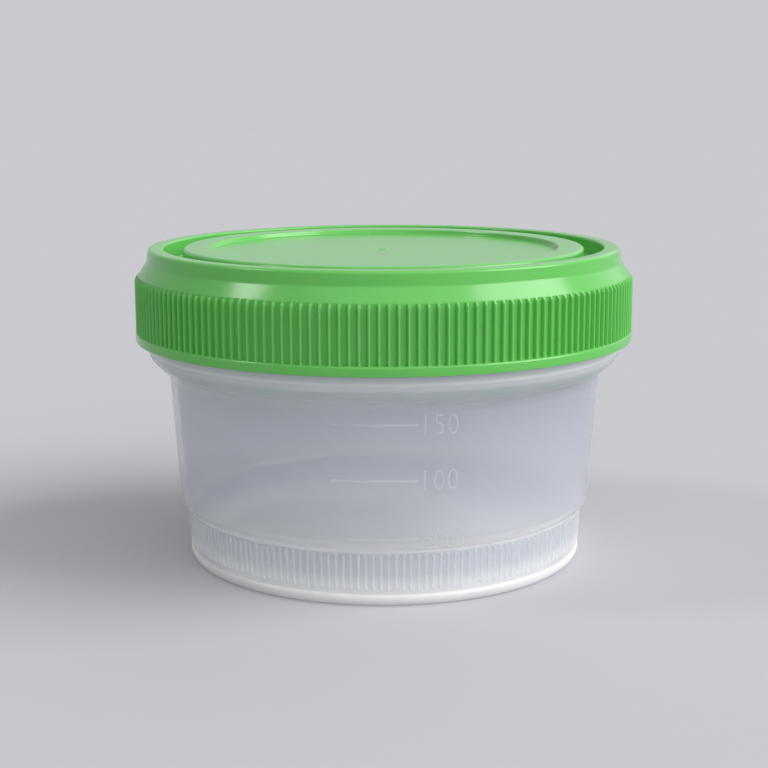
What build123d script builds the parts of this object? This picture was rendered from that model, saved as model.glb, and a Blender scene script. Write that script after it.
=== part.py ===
"""Specimen container: a wide, low screw-cap pot moulded in polypropylene.

Two mouldings on one upright axis. The container has a ribbed base band, a drafted wall,
a flared shoulder, a collar and a neck that ends in a thin sealing lip. The cap has a finely
ribbed skirt, a bevel and a raised stacking ring that closes over the lip. Its plug seal is
hollow and open to the top, as a deep channel round the recessed middle panel.

Millimetres, +Z up, origin on the axis at the level that the foot stands on.
"""
from build123d import *
from math import atan2, cos, radians, sin, tan
import os

# ---- container, from the foot up ---------------------------------------------------
WALL = 1.2                   # body, band and shoulder
DRAFT = 3.65                 # degrees that the outside widens towards the mouth
BAND_RADIUS = 38.15          # base band over its ribs, taken down to the foot's level
FOOT_PROUD = 0.2             # foot bead beyond the band
FOOT_HEIGHT = 2.1
FOOT_ROUND = 1.8             # rounding under the foot bead
FOOT_LAND = 2.6              # width of the ring that the container stands on
FOOT_RECESS = 0.5            # the floor panel stands this far clear of the table
FLOOR = 1.2
INNER_ROUND = 1.2            # rounding between the floor and the wall inside
BAND_HEIGHT = 8.3            # from the foot bead to the step
STEP_OUT = 1.25              # how far the wall stands out over the band
STEP_RISE = 2.2              # height of the rounded step
WALL_HEIGHT = 23.8           # straight drafted wall above the step
SHOULDER_RISE = 3.7          # flare from the wall to the collar
SHOULDER_ROUND = 1.0
COLLAR_PROUD = 0.85          # collar beyond the neck
COLLAR_HEIGHT = 3.8
COLLAR_ROUND = 1.0
MOUTH_RADIUS = 43.2          # bore of the mouth
NECK_WALL = 1.4              # neck that carries the screw thread
NECK_HEIGHT = 11.3
LIP_WALL = 0.9               # thin lip that the plug seal enters
LIP_HEIGHT = 3.9
LIP_EASE = 0.25

# ---- cap, from the skirt's lower edge up -------------------------------------------
COLLAR_SHOWS = 2.9           # height of the collar left in view below the cap
SKIRT_WALL = 1.15            # behind the grooves
SKIRT_BAND_HEIGHT = 1.7      # plain lower band, flush with the ribs
BEVEL_HEIGHT = 2.6           # bevel from behind the ribs to the stacking ring
RING_HEIGHT = 2.55           # stacking ring above the bevel
RING_WALL = 0.75             # outside wall of the stacking ring, at its crest
RING_FLARE = 0.2             # how much wider the ring is at its foot
RING_ROOF = 1.1              # over the lip
RING_EASE = 0.3              # eased edges of its crest
CHANNEL_WIDTH = 3.65         # moat between the stacking ring and the panel's rim
CHANNEL_DEPTH = 3.5
PLUG_WALL = 0.9              # thin walls of the hollow plug seal
PLUG_EASE = 0.5             # leads the plug into the mouth
PANEL_RIM_WIDTH = 5.0        # raised rim round the middle panel
PANEL_RIM_DROP = 0.1         # below the crest of the ring
PANEL_RIM_EASE = 0.5
PANEL_DROP = 1.0             # recess of the middle panel below the crest
PANEL_WALL = 1.2
GATE_RADIUS = 0.9            # mark left where the plastic entered the mould
GATE_HEIGHT = 0.15

# ---- ribs --------------------------------------------------------------------------
RIB_COUNT = 180              # round the band and round the skirt alike
BAND_RIB_HEIGHT = 0.4        # the ribbed strip stands this far proud of the plain band
BAND_GROOVE_DEPTH = 0.35     # V grooves cut into the strip leave its ribs
BAND_GROOVE_WIDTH = 0.95
BAND_RIB_FOOT_GAP = 1.0      # plain strip between the foot bead and the ribs
BAND_RIB_STEP_GAP = 0.7      # plain strip between the ribs and the step
SKIRT_RIB_HEIGHT = 0.6       # the rib heads stand this far proud of the bevel's foot
SKIRT_GROOVE_DEPTH = 0.55
SKIRT_GROOVE_WIDTH = 1.15
GROOVE_OVERRUN = 0.3         # how far a cut runs on past the open end of its groove

# ---- fits --------------------------------------------------------------------------
COLLAR_CLEARANCE = 0.65      # collar to the inside of the skirt, room for the thread
PLUG_CLEARANCE = 0.15        # plug seal to the bore of the mouth
LIP_CLEARANCE = 0.2          # lip to the stacking ring, round it and over it

slope = tan(radians(DRAFT))

# ---- container: heights and radii that follow --------------------------------------
band_top = FOOT_HEIGHT + BAND_HEIGHT
step_top = band_top + STEP_RISE
shoulder_base = step_top + WALL_HEIGHT
shoulder_top = shoulder_base + SHOULDER_RISE
collar_top = shoulder_top + COLLAR_HEIGHT
lip_base = collar_top + NECK_HEIGHT
lip_top = lip_base + LIP_HEIGHT
floor_top = FOOT_RECESS + FLOOR

foot_radius = BAND_RADIUS + FOOT_PROUD
plain_radius = BAND_RADIUS - BAND_RIB_HEIGHT
rib_low = FOOT_HEIGHT + BAND_RIB_FOOT_GAP
rib_high = band_top - BAND_RIB_STEP_GAP
band_low = plain_radius + FOOT_HEIGHT * slope
band_high = plain_radius + band_top * slope
wall_low = band_high + BAND_RIB_HEIGHT + STEP_OUT
wall_high = wall_low + WALL_HEIGHT * slope
neck_radius = MOUTH_RADIUS + NECK_WALL
collar_radius = neck_radius + COLLAR_PROUD
lip_radius = MOUTH_RADIUS + LIP_WALL

flare = atan2(collar_radius - wall_high, SHOULDER_RISE)
inner_shoulder = shoulder_base + WALL * tan((flare - radians(DRAFT)) / 2)
mouth_base = inner_shoulder + (MOUTH_RADIUS - wall_high + WALL) / tan(flare)

# ---- cap: heights and radii that follow --------------------------------------------
cap_bottom = shoulder_top + COLLAR_SHOWS
skirt_band_top = cap_bottom + SKIRT_BAND_HEIGHT
ring_roof = lip_top + LIP_CLEARANCE
cap_top = ring_roof + RING_ROOF
bevel_top = cap_top - RING_HEIGHT
bevel_base = bevel_top - BEVEL_HEIGHT
channel_floor = cap_top - CHANNEL_DEPTH
plug_bottom = channel_floor - PLUG_WALL
panel_rim_top = cap_top - PANEL_RIM_DROP
panel_top = cap_top - PANEL_DROP
panel_underside = panel_top - PANEL_WALL

skirt_bore = collar_radius + COLLAR_CLEARANCE
skirt_radius = skirt_bore + SKIRT_WALL + SKIRT_GROOVE_DEPTH
bevel_radius = skirt_radius - SKIRT_RIB_HEIGHT
ring_bore = lip_radius + LIP_CLEARANCE
ring_crest_radius = ring_bore + RING_WALL
ring_foot_radius = ring_crest_radius + RING_FLARE
plug_radius = MOUTH_RADIUS - PLUG_CLEARANCE
channel_radius = plug_radius - PLUG_WALL
panel_rim_radius = channel_radius - CHANNEL_WIDTH
panel_radius = panel_rim_radius - PANEL_RIM_WIDTH

bevel = (bevel_radius - ring_foot_radius) / BEVEL_HEIGHT
inner_bevel_top = bevel_top - (ring_foot_radius - ring_bore) * bevel
inner_bevel_base = inner_bevel_top - (skirt_bore - ring_bore) / bevel


def corner(sketch, radius, height):
    """The vertex of a section that lies nearest to a radius and a height."""
    return sketch.vertices().sort_by_distance((radius, height))[0]


def keen_bar(foot, lean, length, width, depth):
    """A three-sided bar that runs up a wall, its edge a depth out from its flat side."""
    radius, height = foot
    with BuildPart() as bar:
        with BuildSketch(Plane((radius, 0, height), x_dir=(0, -1, 0), z_dir=(lean, 0, 1))):
            with BuildLine():
                Polyline((-width / 2, 0), (width / 2, 0), (0, depth), close=True)
            make_face()
        extrude(amount=length)
    return bar.part


# ---- container ---------------------------------------------------------------------
with BuildPart() as container:
    with BuildSketch(Plane.XZ) as pot_section:
        with BuildLine():
            Polyline(
                (0, floor_top),
                (0, FOOT_RECESS),
                (foot_radius - FOOT_ROUND - FOOT_LAND, FOOT_RECESS),
                (foot_radius - FOOT_ROUND - FOOT_LAND, 0),
                (foot_radius, 0),
                (foot_radius, FOOT_HEIGHT),
                (band_low, FOOT_HEIGHT),
                (plain_radius + rib_low * slope, rib_low),
                (BAND_RADIUS + rib_low * slope, rib_low),
                (BAND_RADIUS + rib_high * slope, rib_high),
                (plain_radius + rib_high * slope, rib_high),
                (band_high, band_top),
            )
            TangentArc(
                (wall_low, step_top),
                (band_high, band_top),
                tangent=(-sin(radians(DRAFT)), -cos(radians(DRAFT))),
            )
            Polyline(
                (wall_low, step_top),
                (wall_high, shoulder_base),
                (collar_radius, shoulder_top),
                (collar_radius, collar_top),
                (neck_radius, collar_top),
                (neck_radius, lip_base),
                (lip_radius, lip_base),
                (lip_radius, lip_top),
                (MOUTH_RADIUS, lip_top),
                (MOUTH_RADIUS, mouth_base),
                (wall_high - WALL, inner_shoulder),
                (wall_low - WALL, step_top),
                (band_high - WALL, band_top),
                (plain_radius + floor_top * slope - WALL, floor_top),
                (0, floor_top),
            )
        make_face()
        fillet(corner(pot_section, foot_radius, 0), FOOT_ROUND)
        fillet(corner(pot_section, wall_high, shoulder_base), SHOULDER_ROUND)
        fillet(corner(pot_section, collar_radius, shoulder_top), COLLAR_ROUND)
        chamfer(corner(pot_section, lip_radius, lip_top), LIP_EASE)
        chamfer(corner(pot_section, MOUTH_RADIUS, lip_top), LIP_EASE)
        fillet(corner(pot_section, plain_radius - WALL, floor_top), INNER_ROUND)
    revolve(axis=Axis.Z)
    cut_low = rib_low - GROOVE_OVERRUN
    with PolarLocations(0, RIB_COUNT):
        add(
            keen_bar(
                (BAND_RADIUS + BAND_GROOVE_DEPTH + cut_low * slope, cut_low),
                slope,
                rib_high - rib_low + 2 * GROOVE_OVERRUN,
                2 * BAND_GROOVE_WIDTH,
                -2 * BAND_GROOVE_DEPTH,
            ),
            mode=Mode.SUBTRACT,
        )
container.part.label = "container"

# ---- cap ---------------------------------------------------------------------------
with BuildPart() as cap:
    with BuildSketch(Plane.XZ) as cap_section:
        with BuildLine():
            Polyline(
                (0, panel_top),
                (panel_radius, panel_top),
                (panel_radius, panel_rim_top),
                (panel_rim_radius, panel_rim_top),
                (panel_rim_radius, channel_floor),
                (channel_radius, channel_floor),
                (channel_radius, cap_top),
                (ring_crest_radius, cap_top),
                (ring_foot_radius, bevel_top),
                (bevel_radius, bevel_base),
                (skirt_radius, bevel_base),
                (skirt_radius, cap_bottom),
                (skirt_bore, cap_bottom),
                (skirt_bore, inner_bevel_base),
                (ring_bore, inner_bevel_top),
                (ring_bore, ring_roof),
                (plug_radius, ring_roof),
                (plug_radius, plug_bottom),
                (panel_rim_radius - PLUG_WALL, plug_bottom),
                (panel_rim_radius - PLUG_WALL, panel_underside),
                (0, panel_underside),
                close=True,
            )
        make_face()
        chamfer(corner(cap_section, panel_radius, panel_rim_top), PANEL_RIM_EASE)
        chamfer(corner(cap_section, panel_rim_radius, panel_rim_top), PANEL_RIM_EASE)
        chamfer(corner(cap_section, channel_radius, cap_top), RING_EASE)
        chamfer(corner(cap_section, ring_crest_radius, cap_top), RING_EASE)
        chamfer(corner(cap_section, plug_radius, plug_bottom), PLUG_EASE)
    revolve(axis=Axis.Z)
    with PolarLocations(0, RIB_COUNT):
        add(
            keen_bar(
                (skirt_radius + SKIRT_GROOVE_DEPTH, skirt_band_top),
                0,
                bevel_base - skirt_band_top + GROOVE_OVERRUN,
                2 * SKIRT_GROOVE_WIDTH,
                -2 * SKIRT_GROOVE_DEPTH,
            ),
            mode=Mode.SUBTRACT,
        )
    with Locations((0, 0, panel_top)):
        Cylinder(GATE_RADIUS, 2 * GATE_HEIGHT)
cap.part.label = "cap"

# ---- files -------------------------------------------------------------------------
os.makedirs("parts", exist_ok=True)
for piece in (container, cap):
    export_step(piece.part, f"parts/{piece.part.label}.step")
    print(piece.part.label, "volume", round(piece.part.volume / 1000, 2), "cm3")
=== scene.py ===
"""Looks of a specimen container: a wide, low screw-cap pot in translucent polypropylene."""
import math

import bmesh
import bpy
from mathutils import Matrix, Vector


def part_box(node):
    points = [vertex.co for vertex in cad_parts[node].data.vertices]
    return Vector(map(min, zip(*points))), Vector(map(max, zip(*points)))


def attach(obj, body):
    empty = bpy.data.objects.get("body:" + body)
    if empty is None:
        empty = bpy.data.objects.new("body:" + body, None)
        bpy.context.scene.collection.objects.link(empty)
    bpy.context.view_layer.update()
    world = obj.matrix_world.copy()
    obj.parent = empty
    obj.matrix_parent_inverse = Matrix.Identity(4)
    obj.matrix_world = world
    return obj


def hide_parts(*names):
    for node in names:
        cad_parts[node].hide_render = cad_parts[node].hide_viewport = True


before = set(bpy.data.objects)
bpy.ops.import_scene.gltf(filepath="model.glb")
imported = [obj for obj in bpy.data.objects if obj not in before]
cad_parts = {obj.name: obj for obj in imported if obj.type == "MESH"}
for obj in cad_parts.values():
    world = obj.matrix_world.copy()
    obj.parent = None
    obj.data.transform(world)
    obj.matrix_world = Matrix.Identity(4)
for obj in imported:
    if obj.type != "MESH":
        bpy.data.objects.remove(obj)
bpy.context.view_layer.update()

# ---------------------------------------------------------------------------------
# The container: one thin-walled injection moulding in natural polypropylene, left
# slightly frosted by the mould. Outside it has a ribbed band over a rounded foot, a
# drafted wall, a flared shoulder and a collar. The threaded neck stands above them.
# ---------------------------------------------------------------------------------
MM = 0.001
RIBS_ROUND = 180                   # round the band, and round the skirt of the cap
PITCH = math.tau / RIBS_ROUND

_, container_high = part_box("container")
COLLAR_RADIUS = container_high.x / MM
LIP_TOP = container_high.z / MM
DRAFT = math.tan(math.radians(3.65))
WALL = 1.2
FOOT_RADIUS = 38.35                # the bead round the foot
FOOT_WIDTH = 4.4                   # of the bead and the ring that it stands on
FOOT_HEIGHT = 2.1
BAND_RADIUS = 37.8                 # between the ribs, taken down to the table
BAND_RIB = 0.33
RIBS_LOW, RIBS_HIGH = 3.1, 9.75
STEP_LOW, STEP_HIGH = 10.4, 12.6   # the rounded step from the band out to the wall
STEP_OUT = 1.6
SHOULDER_LOW, SHOULDER_HIGH = 36.4, 40.1
COLLAR_TOP = 43.9
NECK_RADIUS = 44.6
MOUTH_RADIUS = 43.2
MOUTH_BASE = 38.2                  # where the bore of the mouth starts, above the flare
LIP_BASE = 55.2
LIP_WALL = 0.9
FLOOR_UNDER, FLOOR_TOP = 0.5, 1.7


def section_wire(corners):
    """A section of (radius, height, rounding) corners in mm, rounded and joined up."""
    bm = bmesh.new()
    verts = [bm.verts.new((r * MM, 0, z * MM)) for r, z, _ in corners]
    for a, b in zip(verts, verts[1:]):
        bm.edges.new((a, b))
    for vert, (_, _, ease) in zip(verts, corners):
        if ease:
            bmesh.ops.bevel(bm, geom=[vert], offset=ease * MM, offset_type="OFFSET",
                            affect="VERTICES", segments=max(2, min(6, round(ease * 6))),
                            profile=0.5, material=-1)
    return bm


def one_pitch(bm, columns):
    """Spins the wire over one pitch of the ribs, in the given uneven columns."""
    bmesh.ops.rotate(bm, verts=bm.verts, cent=(0, 0, 0),
                     matrix=Matrix.Rotation(-math.pi / 2, 3, "Z"))
    geom = bm.verts[:] + bm.edges[:]
    for start, end in zip(columns, columns[1:]):
        turned = bmesh.ops.spin(bm, geom=geom, cent=(0, 0, 0), axis=(0, 0, 1), dvec=(0, 0, 0),
                                angle=(end - start) * PITCH, steps=1, use_merge=False)
        geom = turned["geom_last"]


def turn_of(vert):
    """How far round its pitch a vertex lies, from 0 to 1."""
    return (math.atan2(vert.co.y, vert.co.x) + math.pi / 2) / PITCH


def shape_ribs(bm, shape, heights, rise, skin):
    """Raises the ribs on the skin and drops the columns that nothing else needs.

    The shape runs across the pitch and the heights run up the rib. The skin gives the
    radius that the ribs stand on.
    """
    ribbed = set()
    for vert in bm.verts:
        radius, up = vert.co.xy.length, vert.co.z / MM
        if radius > (skin(up) - 0.05) * MM and heights[0][0] <= up <= heights[-1][0]:
            ribbed.add(vert)
            low, high = next(pair for pair in zip(heights, heights[1:]) if up <= pair[1][0])
            along = low[1] + (high[1] - low[1]) * (up - low[0]) / (high[0] - low[0])
            across = min(shape, key=lambda step: abs(step[0] - turn_of(vert)))[1]
            crest = (skin(up) + rise * along * across) * MM
            vert.co.xy *= max(radius, crest) / radius
    spare = [edge for edge in bm.edges
             if not ribbed.issuperset(edge.verts)
             and all(0.01 < turn_of(v) < 0.49 or 0.51 < turn_of(v) < 0.99 for v in edge.verts)
             and abs(turn_of(edge.verts[0]) - turn_of(edge.verts[1])) < 0.01]
    bmesh.ops.dissolve_edges(bm, edges=spare, use_verts=True)


def full_turn(bm):
    """Repeats the pitch all the way round and welds the seams and the poles."""
    bmesh.ops.spin(bm, geom=bm.verts[:] + bm.edges[:] + bm.faces[:], cent=(0, 0, 0),
                   axis=(0, 0, 1), dvec=(0, 0, 0), angle=math.tau - PITCH,
                   steps=RIBS_ROUND - 1, use_duplicate=True)
    bmesh.ops.remove_doubles(bm, verts=bm.verts, dist=1e-6)
    bmesh.ops.recalc_face_normals(bm, faces=bm.faces)


def new_piece(name, bm, material, sharp=35):
    """Turns the bmesh into a smooth-shaded object with its sharp edges marked."""
    mesh = bpy.data.meshes.new(name)
    bm.to_mesh(mesh)
    bm.free()
    mesh.materials.append(material)
    mesh.shade_smooth()
    mesh.set_sharp_from_angle(angle=math.radians(sharp))
    piece = bpy.data.objects.new(name, mesh)
    bpy.context.scene.collection.objects.link(piece)
    piece.modifiers.new("flat_faces_stay_flat", "WEIGHTED_NORMAL").keep_sharp = True
    return piece


def srgb(code):
    """An sRGB hex colour as the linear RGBA that a shader takes."""
    parts = [int(code[i:i + 2], 16) / 255 for i in (0, 2, 4)]
    return [p / 12.92 if p <= 0.04045 else ((p + 0.055) / 1.055) ** 2.4 for p in parts] + [1]


def add_node(tree, kind, settings=None, links=None):
    """Adds a node, sets its inputs or properties, and links sockets into it."""
    node = tree.nodes.new(kind)
    for key, value in (settings or {}).items():
        if key in node.inputs:
            node.inputs[key].default_value = value
        else:
            setattr(node, key, value)
    for key, socket in (links or {}).items():
        tree.links.new(socket, node.inputs[key])
    return node


# Natural polypropylene: milky and half see-through, with a soft gloss from a satin mould.
# It is paler and closer wherever the plastic is thicker: the foot, the step, the collar.
# Its colour also holds painted light: painted highlights along the step and the collar's
# rounded corner, painted light from the table on the foot, and a painted green cast from
# the cap on the top of the shoulder.
natural_pp = bpy.data.materials.new("natural_polypropylene")
natural_pp.use_nodes = True
tree = natural_pp.node_tree
tree.nodes.clear()
place = add_node(tree, "ShaderNodeTexCoord")
height = add_node(tree, "ShaderNodeSeparateXYZ", {}, {"Vector": place.outputs["Object"]})
level = add_node(tree, "ShaderNodeMapRange", {"From Min": 0.0, "From Max": LIP_TOP * MM},
                 {"Value": height.outputs["Z"]})
# Heights in mm up the piece, with the colour and then the closeness (opacity) there. The
# colours mix the plastic's own paleness with the painted light named above.
TINTS_AND_PAINTED_LIGHT = [(0.0, "FDFDFD"), (2.2, "F4F5F6"), (2.6, "EDEFF2"), (4.0, "E6E8ED"), (6.0, "D4D8E0"),
         # The white foot is thicker plastic plus painted light from the table; the white step band
         # is thicker plastic plus a painted highlight along its rounding.
         (9.8, "CED2DB"), (10.05, "F4F5F7"), (10.75, "FDFDFD"), (11.5, "ECECF2"),
         (13.0, "DBDCE7"), (18.0, "D1D2E0"), (35.5, "BEC2CE"), (37.4, "C9CDD6"), (37.9, "E0E3E8"),
         # Painted green cast from the cap on the shoulder (38.3 to 39.7 mm), and a painted
         # highlight on the collar's rounded corner (41.2 mm).
         (38.3, "C2CDCB"), (39.7, "C5D0CF"), (40.1, "E2E4E9"), (40.9, "E0E2E8"), (41.2, "FAFAFB"),
         (41.6, "E3E5EB"), (43.9, "C4C7D0"), (59.1, "C4C8D1")]
COVERS = [(0.0, 0.95), (2.2, 0.85), (3.5, 0.74), (6.0, 0.6), (9.8, 0.54), (10.05, 0.85),
          (10.7, 0.92), (11.2, 0.5), (12.6, 0.37), (18.0, 0.35), (37.2, 0.31), (38.0, 0.5),
          (38.3, 0.46), (39.8, 0.46), (40.9, 0.55), (41.2, 0.7), (41.6, 0.64), (43.0, 0.55)]
tint_and_painted_light = add_node(tree, "ShaderNodeValToRGB", {}, {"Fac": level.outputs["Result"]})
cover = add_node(tree, "ShaderNodeValToRGB", {}, {"Fac": level.outputs["Result"]})
for ramp, stops in ((tint_and_painted_light, [(up, srgb(code)) for up, code in TINTS_AND_PAINTED_LIGHT]),
                    (cover, [(up, (share, share, share, 1)) for up, share in COVERS])):
    while len(ramp.color_ramp.elements) < len(stops):
        ramp.color_ramp.elements.new(0.5)
    for stop, (up, colour) in zip(ramp.color_ramp.elements, stops):
        stop.position = up / LIP_TOP
        stop.color = colour
# The frosting of the mould, about 1 mm from bump to bump, is coarser than the real one to show.
grain = add_node(tree, "ShaderNodeTexNoise", {"Scale": 900.0, "Detail": 2.0},
                 {"Vector": place.outputs["Object"]})
bump = add_node(tree, "ShaderNodeBump", {"Strength": 0.05, "Distance": 0.0002},
                {"Height": grain.outputs["Fac"]})
# Milky plastic scatters light onward, so a lamp reaches further through it than the eye does.
path = add_node(tree, "ShaderNodeLightPath")
passed = add_node(tree, "ShaderNodeMath", {"operation": "MULTIPLY_ADD"},
                  {0: path.outputs["Is Shadow Ray"]})
passed.inputs[1].default_value = -0.75
passed.inputs[2].default_value = 1.0
held = add_node(tree, "ShaderNodeMath", {"operation": "MULTIPLY"},
                {0: cover.outputs["Color"], 1: passed.outputs["Value"]})
plastic = add_node(tree, "ShaderNodeBsdfPrincipled",
                   {"Roughness": 0.27, "IOR": 1.49, "Subsurface Weight": 1.0,
                    "Subsurface Radius": (1.0, 1.0, 1.0), "Subsurface Scale": 0.003},
                   {"Base Color": tint_and_painted_light.outputs["Color"], "Alpha": held.outputs["Value"],
                    "Normal": bump.outputs["Normal"]})
add_node(tree, "ShaderNodeOutputMaterial", {}, {"Surface": plastic.outputs["BSDF"]})

wall_low = BAND_RADIUS + STEP_LOW * DRAFT + STEP_OUT
wall_high = wall_low + (SHOULDER_LOW - STEP_HIGH) * DRAFT
container_section = [
    (0, FLOOR_UNDER, 0),
    (FOOT_RADIUS - FOOT_WIDTH, FLOOR_UNDER, 0.3),
    (FOOT_RADIUS - FOOT_WIDTH, 0, 0.3),
    (FOOT_RADIUS, 0, 1.75),
    (FOOT_RADIUS, FOOT_HEIGHT, 0.15),
    (BAND_RADIUS + FOOT_HEIGHT * DRAFT, FOOT_HEIGHT + 0.2, 0.1),
    (BAND_RADIUS + RIBS_LOW * DRAFT, RIBS_LOW, 0),
    (BAND_RADIUS + (RIBS_LOW + 0.2) * DRAFT, RIBS_LOW + 0.2, 0),
    (BAND_RADIUS + (RIBS_LOW + 0.45) * DRAFT, RIBS_LOW + 0.45, 0),
    (BAND_RADIUS + (RIBS_HIGH - 0.45) * DRAFT, RIBS_HIGH - 0.45, 0),
    (BAND_RADIUS + (RIBS_HIGH - 0.2) * DRAFT, RIBS_HIGH - 0.2, 0),
    (BAND_RADIUS + RIBS_HIGH * DRAFT, RIBS_HIGH, 0),
    (BAND_RADIUS + (STEP_LOW + 0.1) * DRAFT, STEP_LOW + 0.1, 0.1),
    (wall_low - 0.35, STEP_LOW + 0.75, 0.9),
    (wall_low, STEP_HIGH, 0.7),
    (wall_high, SHOULDER_LOW, 1.0),
    (COLLAR_RADIUS, SHOULDER_HIGH, 1.1),
    (COLLAR_RADIUS, COLLAR_TOP, 0.25),
    (NECK_RADIUS, COLLAR_TOP, 0.2),
    (NECK_RADIUS, LIP_BASE, 0.2),
    (MOUTH_RADIUS + LIP_WALL, LIP_BASE + 0.3, 0.1),
    (MOUTH_RADIUS + LIP_WALL, LIP_TOP, 0.3),
    (MOUTH_RADIUS, LIP_TOP, 0.3),
    (MOUTH_RADIUS, MOUTH_BASE, 0.8),
    (wall_high - WALL, SHOULDER_LOW + 0.3, 1.0),
    (wall_low - WALL, STEP_HIGH, 0.8),
    (BAND_RADIUS + STEP_LOW * DRAFT - WALL, STEP_LOW, 0.8),
    (BAND_RADIUS + FLOOR_TOP * DRAFT - WALL, FLOOR_TOP, 1.2),
    (0, FLOOR_TOP, 0),
]
BAND_RIB_SHAPE = [(0, 0), (0.27, 0), (0.37, 0.75), (0.5, 1), (0.63, 0.75), (0.73, 0), (1, 0)]
band_rib_heights = [(RIBS_LOW - 0.01, 0), (RIBS_LOW + 0.2, 0.7), (RIBS_LOW + 0.45, 1),
                    (RIBS_HIGH - 0.45, 1), (RIBS_HIGH - 0.2, 0.7), (RIBS_HIGH + 0.01, 0)]

bm = section_wire(container_section)
one_pitch(bm, [step[0] for step in BAND_RIB_SHAPE])
shape_ribs(bm, BAND_RIB_SHAPE, band_rib_heights, BAND_RIB, lambda up: BAND_RADIUS + up * DRAFT)
full_turn(bm)
container = new_piece("container_moulding", bm, natural_pp)
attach(container, "container")
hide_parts("container")

# ---------------------------------------------------------------------------------
# The graduations: three level lines with their volumes, raised a hair on the front of
# the wall by shallow engraving in the mould, in the same natural polypropylene.
# ---------------------------------------------------------------------------------
LEVELS = [(33.56, "150", 13.0), (23.58, "100", 13.0), (13.0, "50ml", 14.2)]
LINE_LEFT, LINE_RIGHT = -9.2, 5.9
LINE_WIDTH = 0.55
DIGIT_LEFT = 6.9
DIGIT_HEIGHT = 3.7
RELIEF = 0.12                      # how far they stand out of the wall
ROOT = 0.1                         # how far they run back into it
EASE = 0.08                        # their eased long edges


def wall_radius(up):
    """The outside of the drafted wall, in mm, at a height in mm."""
    return wall_low + (up - STEP_HIGH) * DRAFT


# The raised strokes look whiter than the wall, because the plastic is thicker there. Low on
# the wall they fade into the paler plastic round the step.
relief_pp = bpy.data.materials.new("natural_polypropylene_relief")
relief_pp.use_nodes = True
tree = relief_pp.node_tree
tree.nodes.clear()
place = add_node(tree, "ShaderNodeTexCoord")
grain = add_node(tree, "ShaderNodeTexNoise", {"Scale": 1500.0, "Detail": 2.0},
                 {"Vector": place.outputs["Object"]})
bump = add_node(tree, "ShaderNodeBump", {"Strength": 0.05, "Distance": 0.0002},
                {"Height": grain.outputs["Fac"]})
height = add_node(tree, "ShaderNodeSeparateXYZ", {}, {"Vector": place.outputs["Object"]})
cover = add_node(tree, "ShaderNodeMapRange",
                 {"From Min": 16 * MM, "From Max": 22 * MM, "To Min": 0.15, "To Max": 0.24},
                 {"Value": height.outputs["Z"]})
plastic = add_node(tree, "ShaderNodeBsdfPrincipled",
                   {"Base Color": srgb("E8EAEE"), "Roughness": 0.3, "IOR": 1.49},
                   {"Alpha": cover.outputs["Result"], "Normal": bump.outputs["Normal"]})
add_node(tree, "ShaderNodeOutputMaterial", {}, {"Surface": plastic.outputs["BSDF"]})

bm = bmesh.new()
for up, volume, letters_right in LEVELS:
    corners = [bm.verts.new((0, -r * MM, z * MM)) for r, z in (
        (wall_radius(up) - ROOT, up - LINE_WIDTH / 2),
        (wall_radius(up) + RELIEF, up - LINE_WIDTH / 2 + EASE),
        (wall_radius(up) + RELIEF, up + LINE_WIDTH / 2 - EASE),
        (wall_radius(up) - ROOT, up + LINE_WIDTH / 2))]
    end = bm.faces.new(corners)
    bmesh.ops.rotate(bm, verts=corners, cent=(0, 0, 0),
                     matrix=Matrix.Rotation(LINE_LEFT / wall_radius(up), 3, "Z"))
    bmesh.ops.spin(bm, geom=[end] + end.edges[:] + corners, cent=(0, 0, 0), axis=(0, 0, 1),
                   dvec=(0, 0, 0), angle=(LINE_RIGHT - LINE_LEFT) / wall_radius(up), steps=14)
    letters = bpy.data.curves.new("letters", "FONT")
    letters.body = volume
    letters.extrude = (RELIEF + ROOT) / 2 * MM
    letters.offset = -0.012
    letters.space_character = 1.12
    flat = bpy.data.objects.new("letters", letters)
    mesh = bpy.data.meshes.new_from_object(flat)
    bpy.data.objects.remove(flat)
    left = min(v.co.x for v in mesh.vertices)
    wide = max(v.co.x for v in mesh.vertices) - left
    tall = max(v.co.y for v in mesh.vertices)
    for v in mesh.vertices:
        x = DIGIT_LEFT + (v.co.x - left) / wide * (letters_right - DIGIT_LEFT)
        z = up + (v.co.y / tall - 0.5) * DIGIT_HEIGHT
        r = wall_radius(z) + v.co.z / MM + (RELIEF - ROOT) / 2
        v.co = (r * math.sin(x / r) * MM, -r * math.cos(x / r) * MM, z * MM)
    bm.from_mesh(mesh)
bmesh.ops.recalc_face_normals(bm, faces=bm.faces)
graduations = new_piece("graduations", bm, relief_pp)
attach(graduations, "container")

# ---------------------------------------------------------------------------------
# The screw thread of the neck: one raised helix, moulded with the neck, that runs
# out into it at both ends.
# ---------------------------------------------------------------------------------
THREAD_PITCH = 5.0
THREAD_TURNS = 1.4
THREAD_STEPS = 72                  # in one turn
THREAD_LOW = 46.2                  # middle of the ridge at its lower end
THREAD_ROOT = 0.15                 # how far the ridge runs back into the wall


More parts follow.
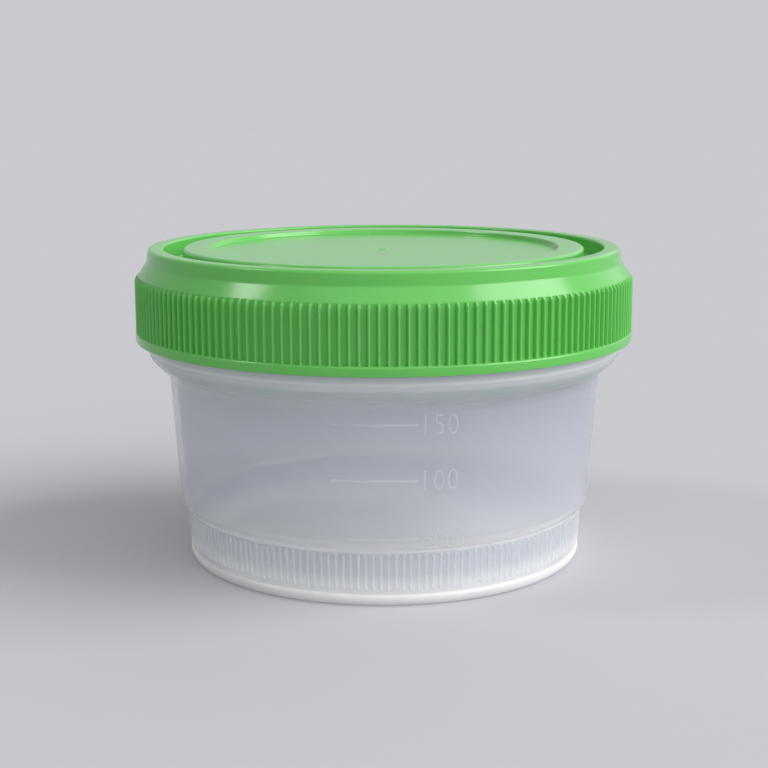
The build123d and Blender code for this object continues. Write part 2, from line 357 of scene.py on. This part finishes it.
def thread(name, wall, crest, low, material):
    """A helix with a rounded ridge between the radii of a wall and a crest, in mm."""
    bm = bmesh.new()
    into = -THREAD_ROOT if crest > wall else THREAD_ROOT
    corners = [bm.verts.new((0, -r * MM, (low + z) * MM)) for r, z in (
        (wall + into, -1.0), (wall, -0.95), (crest, -0.35),
        (crest, 0.35), (wall, 0.95), (wall + into, 1.0))]
    start = bm.faces.new(corners)
    geom = [start] + start.edges[:] + corners
    rings = [corners]
    steps = round(THREAD_TURNS * THREAD_STEPS)
    for step in range(steps):
        turned = bmesh.ops.spin(bm, geom=geom, cent=(0, 0, 0), axis=(0, 0, 1),
                                dvec=(0, 0, THREAD_PITCH / THREAD_STEPS * MM),
                                angle=math.tau / THREAD_STEPS, steps=1)
        geom = turned["geom_last"]
        rings.append([part for part in geom if isinstance(part, bmesh.types.BMVert)])
    for step, ring in enumerate(rings):
        share = min(1, step / 8, (steps - step) / 8)
        for vert in ring:
            radius = vert.co.xy.length / MM
            if abs(radius - crest) < 0.01:
                vert.co.xy *= (wall + into / 3 + (crest - wall - into / 3) * share) / radius
    bmesh.ops.recalc_face_normals(bm, faces=bm.faces)
    return new_piece(name, bm, material)


neck_thread = thread("neck_thread", NECK_RADIUS, 45.4, THREAD_LOW, natural_pp)
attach(neck_thread, "container")

# ---------------------------------------------------------------------------------
# The cap: one moulding in green polypropylene, glossy from a polished mould, with a
# finely ribbed skirt, a bevel, a stacking ring, an open channel over the plug seal
# and a recessed middle panel.
# ---------------------------------------------------------------------------------
cap_low, cap_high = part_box("cap")
CAP_BOTTOM = cap_low.z / MM
CAP_TOP = cap_high.z / MM
SKIRT_RADIUS = cap_high.x / MM
SKIRT_BORE = 46.1
SKIRT_GROOVE = SKIRT_RADIUS - 0.75
SKIRT_RIB = 0.68
BEVEL_FOOT, BEVEL_TOP = 55.2, 57.85
RING_FOOT, RING_CREST = 45.4, 45.1
RING_BORE, RING_ROOF = 44.3, 59.3
PLUG_RADIUS, CHANNEL_RADIUS = 43.05, 42.15
CHANNEL_FLOOR, PLUG_BOTTOM = 56.9, 56.0
RIM_RADIUS, RIM_TOP = 38.5, CAP_TOP - 0.1
PANEL_RADIUS, PANEL_TOP = 33.5, 59.4
PANEL_UNDER = 58.2
PLUG_WALL = 0.9
GATE_RADIUS, GATE_HEIGHT = 0.9, 0.15   # the mark left where the plastic entered the mould
SKIRT_BAND_TOP = 44.72                 # the plain lower band of the skirt, flush with the ribs
RIB_HEAD_LEVELS = [54.3, 54.6, 54.85, 55.1]
RIB_HEAD_SHARES = [1, 0.93, 0.75, 0.4]

# Green polypropylene, coloured through, a little soft in the light, with the gloss of a
# polished mould. Its faint unevenness, 0.5 mm across, keeps the highlights from looking drawn.
green_pp = bpy.data.materials.new("green_polypropylene")
green_pp.use_nodes = True
tree = green_pp.node_tree
tree.nodes.clear()
place = add_node(tree, "ShaderNodeTexCoord")
grain = add_node(tree, "ShaderNodeTexNoise", {"Scale": 2200.0, "Detail": 2.0},
                 {"Vector": place.outputs["Object"]})
bump = add_node(tree, "ShaderNodeBump", {"Strength": 0.03, "Distance": 0.0001},
                {"Height": grain.outputs["Fac"]})
plastic = add_node(tree, "ShaderNodeBsdfPrincipled",
                   {"Base Color": srgb("63BC57"), "Roughness": 0.2, "IOR": 1.49,
                    "Subsurface Weight": 0.15, "Subsurface Radius": (0.6, 1.0, 0.5),
                    "Subsurface Scale": 0.002},
                   {"Normal": bump.outputs["Normal"]})
add_node(tree, "ShaderNodeOutputMaterial", {}, {"Surface": plastic.outputs["BSDF"]})

cap_section = [
    (0, PANEL_TOP + GATE_HEIGHT, 0),
    (GATE_RADIUS - 0.2, PANEL_TOP + GATE_HEIGHT, 0.1),
    (GATE_RADIUS, PANEL_TOP, 0.1),
    (PANEL_RADIUS - 0.2, PANEL_TOP, 0.35),
    (PANEL_RADIUS, RIM_TOP, 0.35),
    (RIM_RADIUS, RIM_TOP, 0.75),
    (RIM_RADIUS, CHANNEL_FLOOR, 0.5),
    (CHANNEL_RADIUS, CHANNEL_FLOOR, 0.5),
    (CHANNEL_RADIUS, CAP_TOP, 0.45),
    (RING_CREST, CAP_TOP, 0.6),
    (RING_FOOT, BEVEL_TOP, 0.25),
    (SKIRT_GROOVE, BEVEL_FOOT + 0.2, 0),
    *((SKIRT_GROOVE, up, 0) for up in reversed(RIB_HEAD_LEVELS)),
    (SKIRT_GROOVE, 45.3, 0),
    (SKIRT_GROOVE, 44.9, 0.15),
    (SKIRT_RADIUS, SKIRT_BAND_TOP, 0.35),
    (SKIRT_RADIUS, CAP_BOTTOM, 0.2),
    (SKIRT_BORE, CAP_BOTTOM, 0.2),
    (SKIRT_BORE, 54.4, 0.8),
    (RING_BORE, 56.9, 0.6),
    (RING_BORE, RING_ROOF, 0.3),
    (PLUG_RADIUS, RING_ROOF, 0.3),
    (PLUG_RADIUS, PLUG_BOTTOM, 0.45),
    (RIM_RADIUS - PLUG_WALL, PLUG_BOTTOM, 0.4),
    (RIM_RADIUS - PLUG_WALL, PANEL_UNDER, 0.5),
    (0, PANEL_UNDER, 0),
]
SKIRT_RIB_SHAPE = [(0, 0), (0.27, 0), (0.33, 0.5), (0.4, 0.88), (0.5, 1), (0.6, 0.88),
                   (0.67, 0.5), (0.73, 0), (1, 0)]
skirt_rib_heights = [(SKIRT_BAND_TOP + 0.08, 1), *zip(RIB_HEAD_LEVELS, RIB_HEAD_SHARES), (55.3, 0)]

bm = section_wire(cap_section)
one_pitch(bm, [step[0] for step in SKIRT_RIB_SHAPE])
shape_ribs(bm, SKIRT_RIB_SHAPE, skirt_rib_heights, SKIRT_RIB, lambda up: SKIRT_GROOVE)
full_turn(bm)
cap = new_piece("cap_moulding", bm, green_pp)
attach(cap, "cap")
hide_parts("cap")

# The thread inside the skirt runs close under the thread of the neck, which holds the cap
# down. It was moulded with the cap, in the same green polypropylene.
THREAD_UNDER = 1.6
cap_thread = thread("cap_thread", SKIRT_BORE, 45.1, THREAD_LOW - THREAD_UNDER, green_pp)
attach(cap_thread, "cap")

# ---------------------------------------------------------------------------------
# The floor and the studio: a plain pale table in a pale, even room. Wide soft lamps stand
# to the right, overhead, behind and at the front right, and a smaller one to the left.
# ---------------------------------------------------------------------------------
bm = bmesh.new()
bmesh.ops.create_grid(bm, x_segments=1, y_segments=1, size=3)
mesh = bpy.data.meshes.new("floor")
bm.to_mesh(mesh)
bm.free()
floor = bpy.data.objects.new("floor", mesh)
bpy.context.scene.collection.objects.link(floor)
# The camera and mirrored rays see the table paler than the light does, so that it throws
# little light back up at the pot.
pale = bpy.data.materials.new("pale_table")
pale.use_nodes = True
tree = pale.node_tree
tree.nodes.clear()
seen = add_node(tree, "ShaderNodeLightPath")
mirrored = add_node(tree, "ShaderNodeMath", {"operation": "MAXIMUM"},
                    {0: seen.outputs["Is Glossy Ray"], 1: seen.outputs["Is Transmission Ray"]})
shown = add_node(tree, "ShaderNodeMath", {"operation": "MAXIMUM"},
                 {0: seen.outputs["Is Camera Ray"], 1: mirrored.outputs["Value"]})
top = add_node(tree, "ShaderNodeMix", {"data_type": "RGBA"}, {"Factor": shown.outputs["Value"]})
top.inputs[6].default_value = srgb("B8B8BE")
top.inputs[7].default_value = srgb("C3C3C8")
matt = add_node(tree, "ShaderNodeBsdfPrincipled", {"Roughness": 1.0, "Specular IOR Level": 0.0},
                {"Base Color": top.outputs[2]})
add_node(tree, "ShaderNodeOutputMaterial", {}, {"Surface": matt.outputs["BSDF"]})
mesh.materials.append(pale)

# The room is dim and even, so that the lamps shape the object. The camera and mirrored rays
# see it pale.
world = bpy.data.worlds.new("studio")
bpy.context.scene.world = world
world.use_nodes = True
tree = world.node_tree
tree.nodes.clear()
seen = add_node(tree, "ShaderNodeLightPath")
room = add_node(tree, "ShaderNodeBackground", {"Color": srgb("FFFFFF"), "Strength": 0.23})
pale_room = add_node(tree, "ShaderNodeBackground", {"Color": srgb("C9C9CE"), "Strength": 1.0})
mirrored = add_node(tree, "ShaderNodeMath", {"operation": "MAXIMUM"},
                    {0: seen.outputs["Is Glossy Ray"], 1: seen.outputs["Is Transmission Ray"]})
shown = add_node(tree, "ShaderNodeMath", {"operation": "MAXIMUM"},
                 {0: seen.outputs["Is Camera Ray"], 1: mirrored.outputs["Value"]})
either = add_node(tree, "ShaderNodeMixShader", {},
                  {0: shown.outputs["Value"], 1: room.outputs["Background"],
                   2: pale_room.outputs["Background"]})
add_node(tree, "ShaderNodeOutputWorld", {}, {"Surface": either.outputs["Shader"]})


def soft_light(name, bearing, rise, width, strength):
    """A far soft lamp at a bearing from +X and a rise above the table, all in degrees."""
    data = bpy.data.lights.new(name, "SUN")
    data.angle = math.radians(width)
    data.energy = strength
    lamp = bpy.data.objects.new(name, data)
    bearing, rise = math.radians(bearing), math.radians(rise)
    towards = Vector((math.cos(bearing) * math.cos(rise), math.sin(bearing) * math.cos(rise),
                      math.sin(rise)))
    lamp.rotation_euler = towards.to_track_quat("Z", "Y").to_euler()
    bpy.context.scene.collection.objects.link(lamp)


soft_light("right_light", -10, 38, 42, 2.1)
soft_light("top_light", -80, 62, 60, 0.5)
soft_light("left_light", 187, 46, 14, 0.4)
soft_light("back_light", 60, 36, 56, 0.4)
soft_light("front_right_light", -50, 16, 64, 1.33)
# It fills the shade under the cap and gives no glint, which from behind would lie over the
# whole flat top.
bpy.data.objects["front_right_light"].visible_glossy = False

# ---------------------------------------------------------------------------------
# The camera: a longish lens, a little above the cap and tipped down at it.
# ---------------------------------------------------------------------------------
camera_data = bpy.data.cameras.new("camera")
camera_data.sensor_width = 36
camera_data.lens = 72.745
camera = bpy.data.objects.new("camera", camera_data)
camera.location = (0, -0.29959, 0.08987)
TIP, ROLL = 0.1879, 0.003              # down from level, and to the side, in radians
camera.rotation_euler = (Matrix.Rotation(math.pi / 2 - TIP, 3, "X")
                         @ Matrix.Rotation(-ROLL, 3, "Z")).to_euler()
bpy.context.scene.collection.objects.link(camera)
bpy.context.scene.camera = camera

bpy.context.scene.view_settings.view_transform = "Standard"
